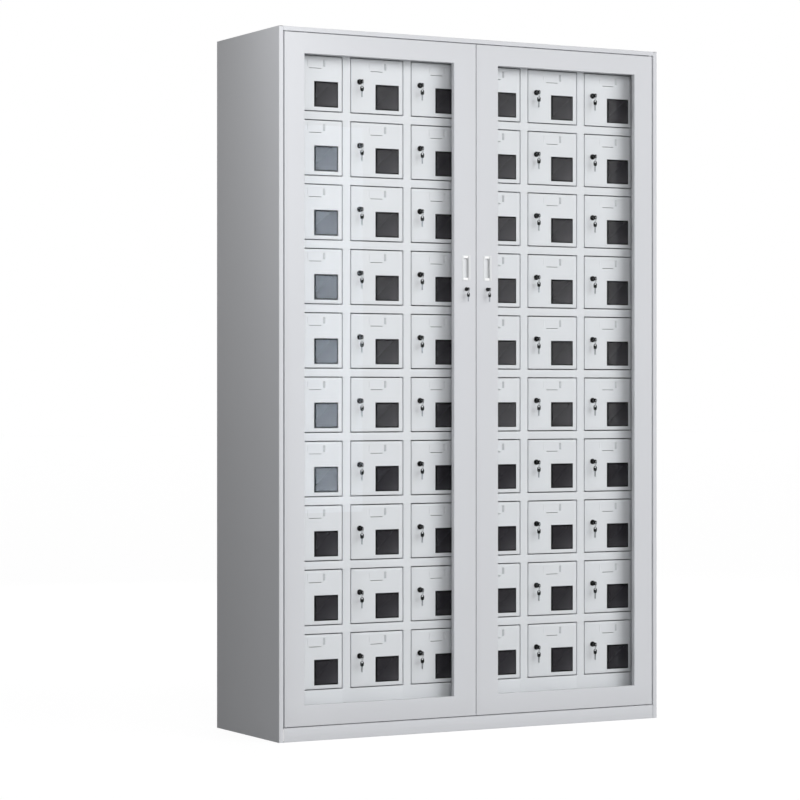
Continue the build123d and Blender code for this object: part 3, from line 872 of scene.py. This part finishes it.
def caseShape(bm, sheetBack, camDepth):
    # the bezel and shell of a lock, and the nut behind the sheet
    end = camDepth - lock["camRun"]
    inner = lock["plugRadius"] + lock["plugRoom"]
    outer, edge, proud = lock["bezelRadius"], lock["bezelEdge"], lock["bezelProud"]
    flare, flareDepth = lock["mouthEdge"]
    turnedShape(bm, [
        (inner, end), (inner, -proud + flareDepth), (inner + flare, -proud), (outer - edge, -proud),
        (outer, -proud + edge), (outer, 0), (lock["caseRadius"], 0), (lock["caseRadius"], end), (inner, end),
    ], lock["steps"])
    nut = bmesh.ops.create_cone(bm, cap_ends=True, segments=lock["nutSides"], radius1=lock["nutRadius"],
                                radius2=lock["nutRadius"], depth=lock["nutThickness"])["verts"]
    bmesh.ops.rotate(bm, matrix=turnX, verts=nut)
    bmesh.ops.translate(bm, vec=(0, sheetBack + lock["nutThickness"] / 2, 0), verts=nut)
    finishFaces(nut, 2)


def plugShape(bm, camDepth):
    # the barrel that turns in the case, down to the cam
    front = lock["plugSink"] - lock["bezelProud"]
    radius, edge = lock["plugRadius"], lock["plugEdge"]
    turnedShape(bm, [
        (0, front), (radius - edge, front), (radius, front + edge), (radius, camDepth), (0, camDepth),
    ], lock["steps"])


def camShape(bm, camDepth, reach):
    # the cam, which hangs down by reach, and the screw that holds it
    known = set(bm.verts)
    half = lock["camWidth"] / 2
    verts = boxShape(bm, (-half, camDepth, -reach), (half, camDepth + lock["camThickness"], half))
    roundEdges(bm, depthEdges(verts), half * lock["camRound"], facets["corner"])
    back = camDepth + lock["camThickness"]
    rim = back - lock["screwRim"]
    turnedShape(bm, [(0, back), (lock["screwRadius"], back), (lock["screwRadius"], rim), (0, rim)],
                lock["screwSteps"])
    finishFaces(newVerts(bm, known), 2)


def insertedKeyShape(bm):
    # the key in the lock, its bow upright and towards the front
    verts = keyShape(bm)
    bmesh.ops.rotate(bm, matrix=turnX, verts=verts)
    bmesh.ops.rotate(bm, matrix=Matrix.Rotation(quarterTurn, 3, "Y"), verts=verts)
    bmesh.ops.translate(bm, vec=(0, -keyReach, 0), verts=verts)


def placeShape(bm, place):
    bmesh.ops.translate(bm, vec=place, verts=bm.verts)


for name in columnNames:
    place = lockPlaces[f"{name}_lock_turn"]
    sheetBack = leaf["sheet"]
    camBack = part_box(f"{name}_turning_lock")[1][1]
    camDepth = camBack - lock["camThickness"] - leafY
    camReach = place.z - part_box(f"{name}_turning_lock")[0][2]
    otherRows = [row - grid["turningRow"] for row in range(grid["rows"]) if row != grid["turningRow"]]
    bm = bmesh.new()
    caseShape(bm, sheetBack, camDepth)
    spareShape(bm)
    placeShape(bm, place)
    repeatUp(bm, otherRows)
    turning = bmesh.new()
    plugShape(turning, camDepth)
    camShape(turning, camDepth, camReach)
    insertedKeyShape(turning)
    placeShape(turning, place)
    single = turning.copy()
    repeatUp(turning, otherRows)  # in the other rows these parts ride on the doors
    first = [face for face in turning.faces
             if abs(face.calc_center_median().z - place.z) < grid["leafHeight"] / 2]
    bmesh.ops.delete(turning, geom=first, context="FACES")
    extra = bpy.data.meshes.new("extra")
    turning.to_mesh(extra)
    turning.free()
    bm.from_mesh(extra)
    bpy.data.meshes.remove(extra)
    finishPiece(f"{name}Locks", bm, lockFinishes, name, "black_lock", f"{name}_locks")
    finishPiece(f"{name}TurningLock", single, lockFinishes, f"{name}_lock", "black_lock",
                f"{name}_turning_lock")
print("locker locks done")


# Outer doors: hollow frames with a rebate for the glass, flush pulls and locks
door = {
    "sheet": 1.0 * mm,
    "bend": 1.4 * mm,
    "rebate": 12.0 * mm,
    "rebateReturn": 10.0 * mm,
    "glassInRebate": 9.0 * mm,
    "glassEdge": 0.4 * mm,
    "pullRim": (2.6 * mm, 0.7 * mm),  # how far a pull's rim covers the hole for its cup
    "ease": 0.5 * mm,  # a touch more room beside the hinge edge
    "lockSize": (0.7, 1.0, 0.7),  # against a locker's lock
    "keySize": (0.8, 0.8, 0.8),
}
pull = {
    "rimLeft": 4.8 * mm,
    "rimRight": 6.2 * mm,
    "rimEnd": 2.8 * mm,
    "corner": 2.2 * mm,
    "cornerFacets": 4,
    "edge": 0.4 * mm,
    "undercut": 1.2 * mm,  # how far the cup runs on behind the rim
    "depth": 6.0 * mm,
    "sheet": 0.8 * mm,
    "endWidth": 15.0 * mm,
    "endHeight": 6.8 * mm,
    "endRim": 1.4 * mm,
    "endProud": 0.3 * mm,
    "endEdge": 1.2 * mm,
    # painted shade: a grey strip on the cup's right wall, with a head under the upper end block, stands in
    # for the shade there
    "shadeStripThick": 1.2 * mm,
    "shadeStripBack": 1.0 * mm,
    "shadeStripStart": 1.0 * mm,  # above the cup's lower end
    "shadeStripHead": 3.0 * mm,
    "shadeStripEdge": 0.3 * mm,
}


def doorFrame(side):
    # a hollow frame whose front steps back round the glass, with a hole for the pull's cup
    low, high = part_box(f"{side}_door_frame")
    glassLow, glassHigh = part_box(f"{side}_door_glass")
    room = door["glassInRebate"]
    opening = (glassLow[0] + room, glassHigh[0] - room, glassLow[2] + room, glassHigh[2] - room)
    web = (opening[0] - door["rebate"], opening[1] + door["rebate"],
           opening[2] - door["rebate"], opening[3] + door["rebate"])
    outerLeft = low[0] + (door["ease"] if side == "left" else 0)
    outerRight = high[0] - (door["ease"] if side == "right" else 0)
    bm = bmesh.new()
    boxShape(bm, (outerLeft, low[1], low[2]), (outerRight, high[1], high[2]))
    pullLow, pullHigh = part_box(f"{side}_door_handle")
    roomX, roomZ = door["pullRim"]
    cutHole(bm, low[1], (pullLow[0] + roomX, pullHigh[0] - roomX, pullLow[2] + roomZ, pullHigh[2] - roomZ))
    frontRim = cutHole(bm, low[1], opening)
    backRim = cutHole(bm, high[1], web)
    rim = stepRim(bm, frontRim, depth=door["rebateReturn"])
    rim = stepRim(bm, rim, spread=door["sheet"])
    rim = stepRim(bm, rim, depth=door["sheet"] - door["rebateReturn"])
    rim = stepRim(bm, rim, spread=door["rebate"] - door["sheet"])
    bmesh.ops.bridge_loops(bm, edges=rim + backRim)
    bmesh.ops.recalc_face_normals(bm, faces=bm.faces)
    roundFolds(bm, low[1], door["bend"], facets["corner"])
    roundFolds(bm, high[1], door["sheet"] / 2, facets["chamfer"])
    finishPiece(f"{side}DoorFrame", bm, ["powderCoat"], f"{side}_door", "powder_coat", f"{side}_door_frame")


def doorGlass(side):
    low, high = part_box(f"{side}_door_glass")
    bm = bmesh.new()
    boxShape(bm, low, high, door["glassEdge"])
    finishPiece(f"{side}DoorPane", bm, ["doorGlass"], f"{side}_door", "clear_glass", f"{side}_door_glass")


def doorPull(side):
    # a rim with a cup behind it, an end block at either end of the cup, and a grey strip at its right wall
    # whose colour is painted shade, with a head that paints the shadow under the upper block
    low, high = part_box(f"{side}_door_handle")
    front = low[1] + pull["endProud"]
    cup = (low[0] + pull["rimLeft"], high[0] - pull["rimRight"],
           low[2] + pull["rimEnd"], high[2] - pull["rimEnd"])
    bm = bmesh.new()
    verts = boxShape(bm, (low[0], front, low[2]), (high[0], frontY, high[2]))
    roundEdges(bm, depthEdges(verts), pull["corner"], pull["cornerFacets"])
    bmesh.ops.delete(bm, geom=facesAt(bm, frontY), context="FACES")
    rim = cutHole(bm, front, cup)
    roundFolds(bm, front, pull["edge"], facets["bend"])
    rim = stepRim(bm, rim, depth=frontY - front)
    rim = stepRim(bm, rim, spread=pull["undercut"])
    rim = stepRim(bm, rim, depth=pull["depth"])
    bmesh.ops.contextual_create(bm, geom=rim)
    bmesh.ops.recalc_face_normals(bm, faces=bm.faces)
    bmesh.ops.solidify(bm, geom=bm.faces[:], thickness=pull["sheet"])
    known = set(bm.verts)
    # the end blocks' white is partly painted highlight, for glints on the cup's ends
    for bottom in (low[2] + pull["endRim"], high[2] - pull["endRim"] - pull["endHeight"]):
        boxShape(bm, (cup[0], low[1], bottom),
                 (cup[0] + pull["endWidth"], frontY + pull["depth"], bottom + pull["endHeight"]),
                 pull["endEdge"], facets["corner"])
    finishFaces(newVerts(bm, known), 1)
    known = set(bm.verts)
    # painted shade: the grey strip and its head sit where the cup's right wall and the corner under the
    # upper block lie in shade
    shadeStripCorner = (cup[1], frontY + pull["depth"], high[2] - pull["endRim"] - pull["endHeight"])
    shadeStripLeft = cup[1] - pull["shadeStripThick"]
    boxShape(bm, (shadeStripLeft, front + pull["shadeStripBack"], cup[2] + pull["shadeStripStart"]), shadeStripCorner,
             pull["shadeStripEdge"])
    boxShape(bm, (shadeStripLeft - pull["shadeStripHead"], frontY + pull["depth"] / 2, shadeStripCorner[2] - pull["shadeStripHead"]),
             shadeStripCorner, pull["shadeStripEdge"])
    finishFaces(newVerts(bm, known), 2)
    finishPiece(f"{side}DoorPull", bm, ["palePlastic", "whitePlasticHighlight", "paintedShadeGrey"],
                f"{side}_door", "pale_plastic", f"{side}_door_handle")


def doorLock(side):
    place = lockPlaces[f"{side}_door_lock_turn"]
    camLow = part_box(f"{side}_door_lock_cam")[0]
    camDepth = camLow[1] - frontY
    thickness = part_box(f"{side}_door_frame")[1][1] - frontY
    body = f"{side}_door_lock"
    whole = (1.0, 1.0, 1.0)
    makers = (
        ("LockCase", f"{side}_door", "lock_case", lambda bm: caseShape(bm, thickness, camDepth),
         "black_lock", door["lockSize"]),
        ("SpareKey", f"{side}_door", "spare_key", spareShape, "black_lock", door["keySize"]),
        ("LockPlug", body, "lock_plug", lambda bm: plugShape(bm, camDepth), "black_lock", door["lockSize"]),
        ("LockCam", body, "lock_cam", lambda bm: camShape(bm, camDepth, place.z - camLow[2]),
         "zinc_steel", whole),
        ("LockKey", body, "lock_key", insertedKeyShape, "black_lock", door["keySize"]),
    )
    for pieceName, rides, node, make, slotName, size in makers:
        bm = bmesh.new()
        make(bm)
        bmesh.ops.scale(bm, vec=size, verts=bm.verts)
        placeShape(bm, Vector((place.x, frontY, place.z)))
        finishPiece(f"{side}Door{pieceName}", bm, lockFinishes, rides, slotName, f"{side}_door_{node}")


for side in ("left", "right"):
    doorFrame(side)
    doorGlass(side)
    doorPull(side)
    doorLock(side)
print("outer doors done")


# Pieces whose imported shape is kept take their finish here
keptFinishes = {
    "powderCoat": ("base_panel", "back_panel", "locker_partitions", "locker_shelves",
                   "left_door_beads", "right_door_beads"),
    "zincSteel": ("locker_hinge_pins", "door_hinge_pins", "door_hinge_washers", "lock_strike"),
    "glazingSealPaintedLight": ("left_door_seal", "right_door_seal"),
}
for finish, nodeNames in keptFinishes.items():
    for nodeName in nodeNames:
        node = frame["nodes"][nodeName]
        if not node.material_slots:
            node.data.materials.append(materials[finish])
        for materialSlot in node.material_slots:
            materialSlot.material = materials[finish]
print("kept pieces finished")


# Studio: a white floor and world, a pale card for the windows to reflect, and soft lamps
studio = {
    "floorSize": 100.0,
    "floorDrop": 0.2 * mm,
    "floorRoughness": 0.9,
    "floorColor": (0.10, 0.10, 0.10, 1),
    "floorGlow": 0.9,
    "floorGloss": 0.1,
    "floorBounce": 0.28,
    "ambient": 0.03,
    "cardX": (1.2, 1.95),  # a pale card that only gloss shows
    "cardZ": (0.40, 2.11),
    "cardY": -4.5,
    "cardColor": (0.78, 0.87, 1.0, 1),
    "cardGlow": 5.5,
}
lamps = {
    "keyLight": {"place": (4.9, -8.2, 3.6), "size": (9.5, 6.0), "power": 738.0, "aim": (0, 0, 1.0)},
    "frontLight": {"place": (-2.4, -6.0, 2.6), "size": (3.0, 3.0), "power": 136.0, "aim": (0, 0, 1.0)},
    "fillLight": {"place": (-1.05, -0.5, 1.75), "size": (0.4, 1.5), "power": 2.2, "aim": (-0.6, -0.05, 1.4)},
    "backLight": {"place": (1.2, 5.0, 2.8), "size": (3.0, 3.0), "power": 90.0, "aim": (0, 0.2, 1.0)},
}


def whiteSeenOnly(nodes, links, glow, gloss, other):
    # glow where the eye or glass sees it, gloss in reflections, other where it lights things
    path = nodes.new("ShaderNodeLightPath")
    seen = mathNode(nodes, "MAXIMUM")
    direct = rangeNode(nodes, result=(other, glow))
    strength = rangeNode(nodes, result=(0, gloss))
    links.new(path.outputs["Is Camera Ray"], seen.inputs[0])
    links.new(path.outputs["Is Transmission Ray"], seen.inputs[1])
    links.new(seen.outputs[0], direct.inputs["Value"])
    links.new(path.outputs["Glossy Depth"], strength.inputs["Value"])
    links.new(direct.outputs["Result"], strength.inputs["To Min"])
    return strength.outputs["Result"]


def buildFloor():
    material, nodes, links, surface = newMaterial("studioFloor")
    surface.inputs["Base Color"].default_value = studio["floorColor"]
    surface.inputs["Roughness"].default_value = studio["floorRoughness"]
    surface.inputs["Emission Color"].default_value = (1, 1, 1, 1)
    glow = whiteSeenOnly(nodes, links, studio["floorGlow"], studio["floorGloss"], studio["floorBounce"])
    links.new(glow, surface.inputs["Emission Strength"])
    bm = bmesh.new()
    bmesh.ops.create_grid(bm, x_segments=1, y_segments=1, size=studio["floorSize"] / 2)
    bmesh.ops.translate(bm, vec=(0, 0, -studio["floorDrop"]), verts=bm.verts)
    newPiece("studioFloor", bm, [material])


def buildCard():
    material, _, _, surface = newMaterial("reflectionCard")
    surface.inputs["Base Color"].default_value = (0, 0, 0, 1)
    surface.inputs["Emission Color"].default_value = studio["cardColor"]
    surface.inputs["Emission Strength"].default_value = studio["cardGlow"]
    bm = bmesh.new()
    sheetShape(bm, *studio["cardX"], *studio["cardZ"], studio["cardY"])
    card = newPiece("reflectionCard", bm, [material])
    card.visible_camera = False
    card.visible_diffuse = False
    card.visible_shadow = False


def buildLight(name, place, size, power, aim):
    light = bpy.data.lights.new(name, "AREA")
    light.shape = "RECTANGLE"
    light.size, light.size_y = size
    light.energy = power
    lamp = bpy.data.objects.new(name, light)
    bpy.context.scene.collection.objects.link(lamp)
    lamp.location = place
    lamp.rotation_euler = (Vector(aim) - Vector(place)).to_track_quat("-Z", "Y").to_euler()
    lamp.visible_camera = False
    lamp.visible_glossy = False
    lamp.visible_transmission = False


world = bpy.data.worlds.new("studioWorld")
bpy.context.scene.world = world
world.use_nodes = True
worldNodes, worldLinks = world.node_tree.nodes, world.node_tree.links
sky = worldNodes["Background"]
sky.inputs["Color"].default_value = (1, 1, 1, 1)
worldLinks.new(whiteSeenOnly(worldNodes, worldLinks, 1.0, 1.0, studio["ambient"]), sky.inputs["Strength"])
buildFloor()
buildCard()
for name, lamp in lamps.items():
    buildLight(name, **lamp)

view = {
    "place": (-3.8546, -6.80145, 0.92275),
    "toward": (0.47985, 0.87735),  # the way it looks, as X and Y
    "lens": 125.26,  # in millimetres, like the sensor
    "sensor": 36.0,
    "shiftY": -0.0069,
}
cameraData = bpy.data.cameras.new("camera")
cameraData.lens = view["lens"]
cameraData.sensor_width = view["sensor"]
cameraData.shift_y = view["shiftY"]
camera = bpy.data.objects.new("camera", cameraData)
bpy.context.scene.collection.objects.link(camera)
camera.location = view["place"]
camera.rotation_euler = (quarterTurn, 0, -math.atan2(*view["toward"]))
bpy.context.scene.camera = camera
bpy.context.scene.view_settings.view_transform = "Standard"
print("studio done")
